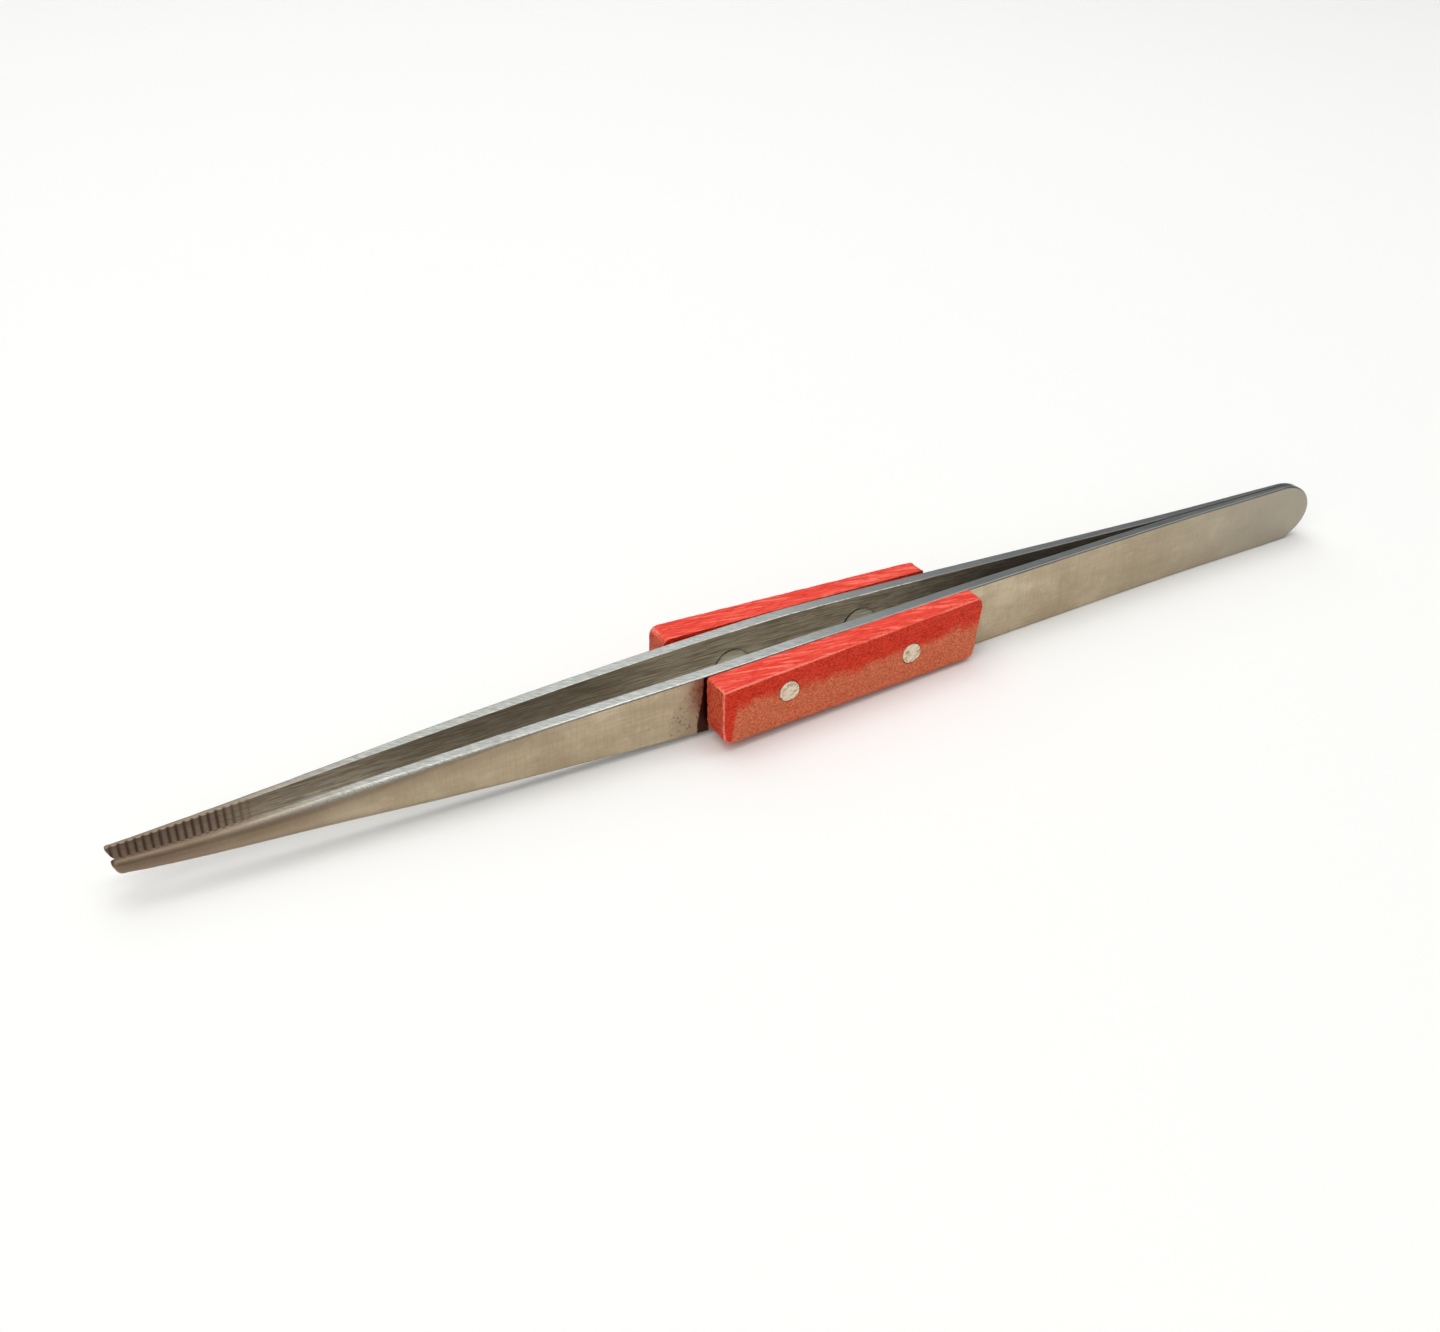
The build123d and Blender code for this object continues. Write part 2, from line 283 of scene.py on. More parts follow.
def blade(side):
    """One blade from tip to heel, with its grooves and its countersunk holes."""
    sign = SIDES[side]
    names = (f"{side}_blade", f"{side}_blade_heel")
    edges = cad_edges(names)
    tip_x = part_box(names[0])[0].x / MM
    heel_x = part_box(names[1])[1].x / MM
    jaw_end = tip_x + GROOVE_FIRST + GROOVE_PITCH * (GROOVE_COUNT - 0.5)

    ridges = [tip_x + GROOVE_FIRST + GROOVE_PITCH * (i + 0.5) for i in range(GROOVE_COUNT)]
    inner_xs = np.concatenate([ridges, np.arange(jaw_end + 1, WELD_X - 0.5, SAMPLE_STEP)])
    inner_fit = smooth_fit(inner_xs, [section(edges, x)[:, 0].min() for x in inner_xs], 9)
    outer_xs = np.concatenate([
        np.arange(tip_x + 1, WELD_X - 0.5, SAMPLE_STEP),
        np.arange(WELD_X + 0.5, heel_x - HEEL_BOTTOM_RUN, SAMPLE_STEP),
    ])
    outer_fit = smooth_fit(outer_xs, [section(edges, x)[:, 0].max() for x in outer_xs], 12)

    def extent(x):
        """How far the blade reaches above and below its middle."""
        z = section(edges, x)[:, 1] - MID_Z
        return z.max(), -z.min()

    taper_xs = np.arange(tip_x + 1, WIDEST_FROM, SAMPLE_STEP)
    tapers = [smooth_fit(taper_xs, [extent(x)[edge] for x in taper_xs], 9) for edge in (0, 1)]
    broad = extent((WIDEST_FROM + WIDEST_TO) / 2)[0]
    heel_start = heel_x - HEEL_TOP_RUN
    at_heel = extent(heel_start - 0.2)
    heel_half = sum(at_heel) / 2
    heel_middle = (at_heel[0] - at_heel[1]) / 2
    nose_end = tip_x + NOSE_LENGTH

    def edge_height(x, edge):
        """How far the upper (0) or lower (1) edge is from the middle: a taper, then straight lines."""
        fit = tapers[edge]
        taper = np.clip(fit(np.clip(x, nose_end, WIDEST_FROM)), fit(nose_end), broad)
        behind = np.interp(x, [WIDEST_TO, heel_start], [broad, at_heel[edge]])
        return np.where(x < WIDEST_FROM, taper, behind)

    def groove(x, half):
        """1 in the middle of a groove and 0 beyond half its width; the last grooves fade out."""
        place = (x - tip_x - GROOVE_FIRST) / GROOVE_PITCH
        nearest = np.clip(np.round(place), 0, GROOVE_COUNT - 1)
        off = np.minimum(np.abs(place - nearest) * GROOVE_PITCH / half, 1)
        fade = np.clip((GROOVE_COUNT - nearest) / (GROOVE_FADE + 1), 0, 1) ** 0.7
        return fade * (0.5 + 0.5 * np.cos(np.pi * off))

    def waviness(x, seed):
        """Slow noise along the blade."""
        return np.array([noise.noise(Vector((v * 0.35, seed, sign))) for v in np.atleast_1d(x)])

    def outer_face(x, z):
        return outer_fit(np.clip(x, tip_x, heel_x))

    def inner_face(x, z):
        flat = np.maximum(inner_fit(np.clip(x, tip_x, WELD_X)), 0.012)
        to_edge = np.where(z > 0, edge_height(x, 0) - z, edge_height(x, 1) + z) / GROOVE_SHALLOW
        kept = GROOVE_AT_EDGE + (1 - GROOVE_AT_EDGE) * np.clip(to_edge, 0, 1)
        cut_in = GROOVE_DEPTH * groove(x, GROOVE_HALF) * kept
        return np.where(x > WELD_X, 0.0, flat) + cut_in

    along = np.concatenate([
        np.arange(nose_end, jaw_end + 1, GROOVE_PITCH / STEPS_PER_GROOVE),
        np.arange(jaw_end + 1.2, heel_start, STATION),
    ])
    worn = EDGE_WEAR * (1 + waviness(along, 7.0))
    above = edge_height(along, 0) - worn
    below = edge_height(along, 1) - worn + np.interp(along - tip_x, JAW_SAG_X, JAW_SAG)
    half_way = (tip_x + (NOSE_SLANT - NOSE_OVERHANG) / 2, (above[0] - below[0]) / 2)
    nose_top = rounded_corner(
        half_way, (tip_x - NOSE_OVERHANG, above[0]), (nose_end, above[0]), NOSE_TOP_CUT[side])
    nose_low = rounded_corner(
        half_way, (tip_x + NOSE_SLANT, -below[0]), (nose_end, -below[0]), NOSE_LOW_CUT)
    heel_angles = np.linspace(math.pi / 2, 0, HEEL_STEPS + 1)
    ends = []
    for run, turn in ((HEEL_TOP_RUN, 1), (HEEL_BOTTOM_RUN, -1)):
        ends.append(np.column_stack([
            heel_x - run + run * np.cos(heel_angles),
            heel_middle + turn * heel_half * np.sin(heel_angles),
        ]))
    upper = np.concatenate([nose_top[:-1], np.column_stack([along, above]), ends[0]])
    lower = np.concatenate([nose_low[:-1], np.column_stack([along, -below]), ends[1]])
    spine = np.column_stack([
        np.clip((upper[:, 0] + lower[:, 0]) / 2, tip_x + above[0] + 0.3, heel_x - heel_half),
        np.zeros(len(upper)),
    ])
    uneven = 1 + ROUND_UNEVENNESS * waviness(upper[:, 0] * 2, 3.0)
    front_round = [np.interp(upper[:, 0] - tip_x, JAW_ROUND_X, reach) * uneven for reach in JAW_ROUND]
    back_round = [np.interp(upper[:, 0], [tip_x, jaw_end], INNER_ROUND)] * 2
    piece = shell(f"{side}_spring_blade", sign, upper, lower, spine, outer_face, inner_face,
                  front_round, back_round, BLADE_FACE_STEPS)
    cutters = []
    for end in ("tip", "heel"):
        head, axis, _ = rivet_axis(side, end)
        cone = HEAD_RADIUS + HEAD_GAP
        narrow = SHANK_RADIUS + HOLE_GAP
        cutters.append(lathe("cutter", head, axis, [
            (0, -1.0), (cone, -1.0), (cone, 0.0), (narrow, HEAD_DEPTH), (narrow, 6.0), (0, 6.0),
        ], RIVET_SEGMENTS))
    cut(piece, cutters)
    # the groove attribute says where painted shade darkens the grooves
    mark(piece, "groove", lambda p: (
        float(groove(p.x, GROOVE_SHADE_HALF)) * (abs(p.y) < inner_fit(p.x) + GROOVE_WALL)))
    shade(piece, BLADE_SHARP)
    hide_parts(*names)
    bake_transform(piece)
    return piece


# --- grips ---------------------------------------------------------------------------------------------
GRIP_STATION = 0.22         # distance between points round a grip
TOP_CORNER_PASSES = 4       # the more passes, the rounder the corners
LOW_CORNER_PASSES = 18
GRIP_FACE_STEPS = 14
GRIP_SHARP = 50             # degrees
OUTER_ROUND = 0.40          # rounding of the outer edges
ROUND_WEAR = 0.12           # how far wear and chipping change it
ROUND_CHIPS = 0.07
SEAT_ROUND = 0.09           # rounding of the edges against the blade
TOP_WEAR = 0.01
FACE_ROUGHNESS = 0.006
END_ROUGHNESS = 0.07
END_REACH = 0.6             # the rough ends fade out over this distance


def resampled(path, count):
    """Points at equal distances along a path."""
    steps = np.linalg.norm(np.diff(path, axis=0), axis=1)
    reach = np.concatenate([[0], np.cumsum(steps)])
    wanted = np.linspace(0, reach[-1], count)
    return np.column_stack([np.interp(wanted, reach, path[:, 0]), np.interp(wanted, reach, path[:, 1])])


def grip(side):
    """A fibre grip with worn edges and rough ends, round its two rivet holes."""
    sign = SIDES[side]
    name = f"{side}_grip"
    co = np.array([v.co for v in frame["nodes"][name].data.vertices]) / MM
    flat = np.column_stack([co[:, 0], co[:, 2] - MID_Z])
    hull = flat[geometry.convex_hull_2d([tuple(p) for p in flat])]
    middle = (hull.min(0) + hull.max(0)) / 2
    order = np.argsort(-np.arctan2(hull[:, 1] - middle[1], hull[:, 0] - middle[0]))
    hull = hull[order]                                        # clockwise from the tip end
    tip_mid = np.array([hull[:, 0].min(), middle[1]])
    top = hull[hull[:, 1] > middle[1]]
    low = hull[hull[:, 1] <= middle[1]][::-1]
    heel_mid_x = np.interp(middle[1], [low[-1][1], top[-1][1]], [low[-1][0], top[-1][0]])
    heel_mid = np.array([heel_mid_x, middle[1]])
    top[:, 1] -= TOP_WEAR
    upper_path = np.vstack([tip_mid, top, heel_mid])
    lower_path = np.vstack([tip_mid, low, heel_mid])
    count = int(np.linalg.norm(np.diff(upper_path, axis=0), axis=1).sum() / GRIP_STATION)
    upper = resampled(upper_path, count)
    lower = resampled(lower_path, count)
    for path, passes in ((upper, TOP_CORNER_PASSES), (lower, LOW_CORNER_PASSES)):
        for _ in range(passes):
            path[1:-1] = (path[:-2] + 2 * path[1:-1] + path[2:]) / 4
    half = (hull[:, 1].max() - hull[:, 1].min()) / 2
    spine = np.column_stack([
        np.clip((upper[:, 0] + lower[:, 0]) / 2, tip_mid[0] + half, heel_mid[0] - half),
        np.full(count, middle[1]),
    ])
    edges = cad_edges([name])
    near_x = tip_mid[0] + 2
    far_x = heel_mid[0] - 3
    planes = {}
    for face, pick in (("front", np.max), ("back", np.min)):
        ends = [pick(section(edges, x)[:, 0]) for x in (near_x, far_x)]
        planes[face] = (ends[0], (ends[1] - ends[0]) / (far_x - near_x))

    def plane(face):
        height, slope = planes[face]
        return lambda x, z: height + slope * (x - near_x)

    wear = np.array([noise.noise(Vector((p[0] * 0.5, p[1] * 0.5, sign * 5))) for p in upper])
    fine = np.array([noise.noise(Vector((p[0] * 2.2, p[1] * 2.2, sign * 9))) for p in upper])
    front_round = [OUTER_ROUND + ROUND_WEAR * wear + ROUND_CHIPS * fine] * 2
    back_round = [np.full(len(upper), SEAT_ROUND)] * 2
    piece = shell(f"{side}_fibre_grip", sign, upper, lower, spine, plane("front"), plane("back"),
                  front_round, back_round, GRIP_FACE_STEPS)
    cutters = []
    for end in ("tip", "heel"):
        head, axis, length = rivet_axis(side, end)
        hole = SHANK_RADIUS + HOLE_GAP
        cutters.append(lathe("cutter", head, axis, [
            (0, -3), (hole, -3), (hole, length + 2), (0, length + 2),
        ], RIVET_SEGMENTS))
    cut(piece, cutters)
    roughen(piece, tip_mid[0], heel_mid[0])
    shade(piece, GRIP_SHARP)
    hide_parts(name)
    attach(piece, f"{side}_arm")
    return piece


def roughen(piece, tip_end, heel_end):
    """Pulls the surface in a little by noise: most at the sawn ends, least on the faces."""
    for vertex in piece.data.vertices:
        place = vertex.co / MM
        to_end = min(place.x - tip_end, heel_end - place.x)
        at_end = max(0.0, 1 - to_end / END_REACH)
        fibre = noise.noise(Vector((place.x * 0.4, place.y * 3, place.z * 3)))
        lump = noise.noise(place * 1.7)
        grit = noise.noise(place * 4.3)
        pull = FACE_ROUGHNESS + FACE_ROUGHNESS * fibre + FACE_ROUGHNESS * lump
        pull += at_end * END_ROUGHNESS * (0.5 + 0.5 * lump + 0.6 * grit)
        vertex.co -= vertex.normal * max(0.0, pull) * MM


# --- rivets --------------------------------------------------------------------------------------------
HEAD_FACE = [(0, 0.035), (0.6, 0.03), (1.2, 0.022), (1.8, 0.02), (2.15, 0.03)]      # a little dished
HEAD_RIM = [(HEAD_RADIUS - 0.03, 0.06), (HEAD_RADIUS, 0.12), (1.80, 0.5)]
HEAD_NEAR = 0.2             # this much of the length tilts and waves with the head's face
HEAD_TILT = 0.02
HEAD_WAVES = 0.012
TAIL_SHARE = 0.6            # past this share of the length the tail is out of round
TAIL_UNEVENNESS = 0.022
TAIL_NEAR = 0.2             # this much of the length follows the slope of the grip's face
TAIL_FACE = [(0.14, 0), (0.53, 0), (0.93, 0)]       # distances inwards from the shank and from the end
TAIL_RIM = [(0, 0.10), (0.05, 0.015)]
RIVET_SHARP = 40            # degrees


def rivet(side, end, front_height):
    """A rivet: countersunk head inside, shank, and an end filed flush with the grip."""
    head, axis, length = rivet_axis(side, end)
    profile = [
        *HEAD_FACE, *HEAD_RIM, (SHANK_RADIUS, HEAD_DEPTH), (SHANK_RADIUS, length * 0.5),
        *((SHANK_RADIUS - across, length - down) for across, down in TAIL_RIM + TAIL_FACE), (0, length),
    ]
    piece = lathe(f"{side}_{end}_filed_rivet", head, axis, profile, RIVET_SEGMENTS)
    middle_height = front_height((head + axis * length).x)
    for vertex in piece.data.vertices:
        place = vertex.co / MM
        along = (place - head).dot(axis)
        radial = place - head - axis * along
        if along > length * TAIL_SHARE and radial.length > 0:
            uneven = 1 + TAIL_UNEVENNESS * noise.noise(radial.normalized() * 1.3 + head)
            place = head + axis * along + radial * uneven
        if along > length - TAIL_NEAR:
            place.y += math.copysign(front_height(place.x) - middle_height, place.y)
        if along < HEAD_NEAR:
            tilt = HEAD_TILT * radial.z / HEAD_RADIUS
            place += axis * (tilt + HEAD_WAVES * noise.noise(place * 0.9))
        vertex.co = place * MM
    shade(piece, RIVET_SHARP)
    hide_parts(f"{side}_{end}_rivet")
    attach(piece, f"{side}_arm")
    return piece


# --- materials -----------------------------------------------------------------------------------------
class Graph:
    """Node tree of one material, with short ways to add the nodes used here."""

    def __init__(self, name):
        self.material = bpy.data.materials.new(name)
        self.material.use_nodes = True
        self.tree = self.material.node_tree
        self.tree.nodes.clear()
        self.output = self.tree.nodes.new("ShaderNodeOutputMaterial")
        self.shader = self.tree.nodes.new("ShaderNodeBsdfPrincipled")
        self.tree.links.new(self.shader.outputs[0], self.output.inputs[0])
        coordinates = self.tree.nodes.new("ShaderNodeTexCoord")
        self.place = self.vector("SCALE", coordinates.outputs["Object"], scale=1 / MM)
        self.normal = coordinates.outputs["Normal"]

    def fill(self, socket, value):
        if isinstance(value, bpy.types.NodeSocket):
            self.tree.links.new(value, socket)
        elif value is not None:
            socket.default_value = value

    def math(self, operation, *values, clamp=False):
        node = self.tree.nodes.new("ShaderNodeMath")
        node.operation = operation
        node.use_clamp = clamp
        for socket, value in zip(node.inputs, values):
            self.fill(socket, value)
        return node.outputs[0]

    def plus(self, first, *others):
        for other in others:
            first = self.math("ADD", first, other)
        return first

    def minus(self, first, second):
        return self.math("SUBTRACT", first, second)

    def times(self, first, *others):
        for other in others:
            first = self.math("MULTIPLY", first, other)
        return first

    def vector(self, operation, *values, scale=None):
        node = self.tree.nodes.new("ShaderNodeVectorMath")
        node.operation = operation
        for socket, value in zip(node.inputs, values):
            self.fill(socket, value)
        if scale is not None:
            self.fill(node.inputs["Scale"], scale)
        return node.outputs[0]

    def distance(self, first, second):
        node = self.tree.nodes.new("ShaderNodeVectorMath")
        node.operation = "DISTANCE"
        self.fill(node.inputs[0], first)
        self.fill(node.inputs[1], second)
        return node.outputs["Value"]

    def split(self, vector):
        node = self.tree.nodes.new("ShaderNodeSeparateXYZ")
        self.fill(node.inputs[0], vector)
        return node.outputs[:3]

    def noise(self, stretch, detail=3.0, turn=(0, 0, 0), offset=(0, 0, 0), roughness=0.5):
        """Noise over the piece in mm, stretched along the axes, after a turn in degrees."""
        mapping = self.tree.nodes.new("ShaderNodeMapping")
        self.fill(mapping.inputs["Vector"], self.place)
        mapping.inputs["Rotation"].default_value = tuple(math.radians(a) for a in turn)
        mapping.inputs["Location"].default_value = offset
        scaled = self.vector("MULTIPLY", mapping.outputs[0], tuple(stretch))
        node = self.tree.nodes.new("ShaderNodeTexNoise")
        self.fill(node.inputs["Vector"], scaled)
        node.inputs["Scale"].default_value = 1.0
        node.inputs["Detail"].default_value = detail
        node.inputs["Roughness"].default_value = roughness
        return node.outputs[0]

    def ramp(self, value, low, high, to_low=0.0, to_high=1.0):
        """value from low..high to to_low..to_high, eased and clamped."""
        node = self.tree.nodes.new("ShaderNodeMapRange")
        node.interpolation_type = "SMOOTHSTEP"
        for socket, item in zip(node.inputs, (value, low, high, to_low, to_high)):
            self.fill(socket, item)
        return node.outputs[0]

    def mix(self, share, first, second):
        node = self.tree.nodes.new("ShaderNodeMix")
        node.data_type = "RGBA"
        for name, item in (("Factor", share), ("A", first), ("B", second)):
            sockets = [s for s in node.inputs if s.name == name and s.enabled]
            if isinstance(item, tuple):
                item = (*item, 1.0)
            self.fill(sockets[0], item)
        return next(s for s in node.outputs if s.enabled)

    def layers(self, colour, *layers):
        """Lays (share, colour) pairs over a colour, one after another."""
        for share, over in layers:
            colour = self.mix(share, colour, over)
        return colour

    def bump(self, height, distance, strength=1.0, under=None):
        node = self.tree.nodes.new("ShaderNodeBump")
        node.inputs["Strength"].default_value = strength
        node.inputs["Distance"].default_value = distance * MM
        self.fill(node.inputs["Height"], height)
        self.fill(node.inputs["Normal"], under)
        return node.outputs[0]

    def attribute(self, name):
        node = self.tree.nodes.new("ShaderNodeAttribute")
        node.attribute_name = name
        return node.outputs["Fac"]

    def edges(self, normal, low, high):
        """1 where the surface faces none of the three axes, as on a rounded edge."""
        facing = [self.math("ABSOLUTE", n) for n in self.split(normal)]
        most = self.math("MAXIMUM", facing[0], self.math("MAXIMUM", facing[1], facing[2]))
        return self.ramp(most, high, low)

    def finish(self, colour, roughness, bump, **constants):
        self.fill(self.shader.inputs["Base Color"], colour)
        self.fill(self.shader.inputs["Roughness"], roughness)
        self.fill(self.shader.inputs["Normal"], bump)
        for name, value in constants.items():
            self.shader.inputs[name.replace("_", " ")].default_value = value
        return self.material


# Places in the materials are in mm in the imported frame: the tips are at x -82 and the heel at 82.
UPPER_EDGE_SLOPE = 0.0556   # height of the upper edge ahead of the grips, over x
UPPER_EDGE_HEIGHT = 9.36
SEAM_HALF = 0.06            # half width of the dark seam where the two blades meet
HEAT_BROWN = (0.115, 0.070, 0.046)
FLOOR_SHEEN_TAN = (0.50, 0.385, 0.28)
GROOVE_SHADE_COLOUR = (0.085, 0.040, 0.028)
PAINTED_GLINT_COLOUR = (0.92, 0.90, 0.80)
SMOKE = (0.32, 0.24, 0.17)
SOOT = (0.10, 0.06, 0.045)
GRIP_END_REFLECTION = (0.050, 0.010, 0.008)
HEAD_RING_SHADE = (0.025, 0.020, 0.015)


def satin_face(g, x, z, blotches, long_lines, cross_lines):
    """The outer faces: rubbed along and across, smudged, and darker towards the jaws and the heel,
    with painted light low down and a painted shadow under the rounded upper edge near the jaws.
    """
    cloud = g.noise((0.30, 0.3, 0.12), detail=3, offset=(8, 8, 3))
    grain = g.noise((9, 9, 9), detail=2)
    smudges = g.noise((0.45, 0.45, 0.60), detail=5, roughness=0.7, offset=(1, 4, 6))
    broad = g.noise((0.085, 0.1, 0.14), detail=4, roughness=0.55, offset=(3, 3, 3))
    upper_edge = g.math("MULTIPLY_ADD", x, UPPER_EDGE_SLOPE, UPPER_EDGE_HEIGHT)
    # stretch along x of the painted shadow under the rounded upper edge
    shadow_reach = g.times(g.ramp(x, -26, -42, 0.0, 0.42), g.ramp(x, -78, -64))
    under_edge = g.ramp(g.minus(upper_edge, z), 2.6, 0.8)
    return g.layers(
        g.mix(g.ramp(blotches, 0.30, 0.70), (0.47, 0.375, 0.25), (0.58, 0.475, 0.325)),
        # painted light: lighter towards the bottom, a painted reflection of the bright floor that offsets
        # the contact shadow
        (g.ramp(z, 3.5, 0.0, 0.0, 0.45), (0.72, 0.60, 0.42)),
        (g.ramp(cloud, 0.35, 0.70, 0.0, 0.35), (0.60, 0.52, 0.38)),
        (g.ramp(long_lines, 0.36, 0.60, 0.20, 0.0), (0.20, 0.155, 0.10)),
        (g.ramp(cross_lines, 0.38, 0.60, 0.15, 0.0), (0.22, 0.17, 0.11)),
        (g.ramp(grain, 0.30, 0.70, 0.16, 0.0), (0.25, 0.20, 0.14)),
        (g.ramp(smudges, 0.52, 0.70, 0.0, 0.30), (0.34, 0.26, 0.17)),
        (g.ramp(smudges, 0.46, 0.30, 0.0, 0.30), (0.74, 0.64, 0.47)),
        (g.ramp(broad, 0.48, 0.66, 0.0, 0.30), (0.30, 0.225, 0.14)),
        (g.ramp(broad, 0.48, 0.32, 0.0, 0.30), (0.80, 0.70, 0.52)),
        (g.ramp(x, -26, -48, 0.0, 0.34), (0.32, 0.25, 0.165)),
        # painted shadow just under the rounded upper edge near the jaws
        (g.times(shadow_reach, under_edge), (0.21, 0.15, 0.095)),
        (g.ramp(x, 28, 62, 0.0, 0.40), (0.34, 0.285, 0.21)),
        (g.ramp(x, 52, 80, 0.0, 0.55), (0.33, 0.315, 0.275)),
    )


def dull_inside(g, x):
    """The inner faces: lengthways lines and browner at the jaws, with painted shade between the blades
    ahead of the grips and behind them.
    """
    lines = g.noise((0.22, 6, 6), detail=5, roughness=0.75, offset=(9, 2, 4))
    # painted shade between the blades, ahead of the grips
    shade_between_blades = g.times(g.ramp(x, -62, -46, 0.0, 0.52), g.ramp(x, -16, -28))
    return g.layers(
        g.mix(g.ramp(lines, 0.36, 0.66), (0.30, 0.255, 0.185), (0.72, 0.65, 0.53)),
        (g.ramp(x, -62, -74, 0.0, 0.5), (0.62, 0.47, 0.31)),
        (shade_between_blades, (0.16, 0.12, 0.07)),
        # painted shade between the blades, behind the grips towards the heel
        (g.ramp(x, 10, 34, 0.0, 0.70), (0.09, 0.07, 0.05)),
    )


def ground_edge(g, x, y, strokes):
    """The upper and lower edges: grey and ground askew, brown at the jaws, dark where the blades meet,
    with painted shade darkening them from just ahead of the grips back to the heel.
    """
    off_middle = g.math("ABSOLUTE", y)
    return g.layers(
        g.mix(g.ramp(strokes, 0.40, 0.60), (0.34, 0.345, 0.32), (0.55, 0.555, 0.52)),
        # painted shade: darker from just ahead of the grips back to the heel
        (g.ramp(x, -16, 12, 0.0, 0.80), (0.29, 0.31, 0.30)),
        (g.ramp(x, -52, -76, 0.0, 0.85), (0.42, 0.335, 0.225)),
        (g.ramp(off_middle, 0.20, SEAM_HALF, 0.0, 0.85), (0.05, 0.045, 0.04)),
    )


def jaw_tint(g, colour, x, y, z, on_edge, inside):
    """Brown from heat at the jaws, less on the right blade's edge, painted shade in the grooves, and a
    painted reflection of the floor that makes the outer faces lighter low down.
    """
    spared = g.times(on_edge, g.ramp(y, 0.0, 0.5, 0.0, 0.55))
    tint = g.times(g.ramp(x, -50, -81, 0.0, 0.80), g.minus(1.0, spared))
    # painted reflection of the floor, lighter low on the outer faces at the jaws
    low_floor_sheen = g.times(g.ramp(z, 4.4, 3.3, 0.0, 0.28), g.ramp(x, -54, -66), g.minus(1.0, inside))
    # painted shade in the grooves
    groove_shade_share = g.times(g.attribute("groove"), 0.85)
    return g.layers(colour, (tint, HEAT_BROWN), (low_floor_sheen, FLOOR_SHEEN_TAN), (groove_shade_share, GROOVE_SHADE_COLOUR))


def painted_glint(g, x, y, ny, nz):
    """1 on a painted glint along the right blade's inner upper corner, beside its grip, where its beaded
    burr catches the light.
    """
    corner = g.times(g.ramp(nz, 0.10, 0.40), g.ramp(nz, 0.99, 0.85))
    stretch = g.times(g.ramp(x, -11, -7), g.ramp(x, 20, 16), g.ramp(y, 0.0, 0.5))
    beads = g.ramp(g.noise((1.6, 0.5, 0.5), detail=2, offset=(7, 0, 0)), 0.38, 0.52, 0.25, 1.0)
    return g.times(corner, stretch, g.ramp(ny, -0.1, -0.4), beads)


def grip_smoke_and_shadow(g, colour, side, end_x, x, y, z, on_edge, ragged):
    """A painted dark reflection and shadow of the grip's end on the blade just ahead of a grip, and smoke
    with specks of soot further out.
    """
    ahead = g.minus(end_x, x)
    on_face = g.ramp(g.times(y, SIDES[side]), 3.0, 3.4)
    here = g.times(on_face, g.ramp(ahead, -0.6, -0.3), g.minus(1.0, on_edge))
    # reach of the painted reflection and shadow of the grip's end, wider lower down
    end_reflection_reach = g.plus(g.ramp(z, 7.5, 1.0, 0.15, 1.05), g.times(ragged, 0.22))
    end_reflection = g.times(here, g.ramp(g.minus(ahead, end_reflection_reach), 0.10, -0.06))
    smoke_reach = g.plus(g.ramp(z, 8.0, 3.0, 1.4, 4.6), ragged)
    smoke = g.times(here, g.ramp(g.minus(ahead, smoke_reach), 0.5, -0.3))
    specks = g.ramp(g.noise((3.2, 3.2, 3.2), detail=3, offset=(1, 9, 2)), 0.56, 0.66)
    return g.layers(
        colour,
        (g.times(smoke, 0.25), SMOKE),
        (g.times(smoke, specks, 0.6), SOOT),
        # painted reflection and shadow of the grip's end
        (g.times(end_reflection, 0.95), GRIP_END_REFLECTION),
    )


def head_ring_shade(g, colour, side, head, x, y, inside, ragged):
    """Painted shade in the ring gap round a rivet's head, darkest towards the tip."""
    away = g.distance(g.vector("MULTIPLY", g.place, (1, 0, 1)), (head.x, 0, head.z))
    ring = g.ramp(g.math("ABSOLUTE", g.minus(away, HEAD_RADIUS + 0.12)), 0.24, 0.08)
    on_side = g.ramp(g.times(y, SIDES[side]), 0.0, 0.2)
    broken = g.ramp(ragged, -0.35, 0.10, 0.55, 1.0)
    towards_tip = g.ramp(x, head.x + 1.6, head.x - 1.2, 0.35, 1.0)
    return g.mix(g.times(ring, on_side, inside, broken, towards_tip), colour, HEAD_RING_SHADE)


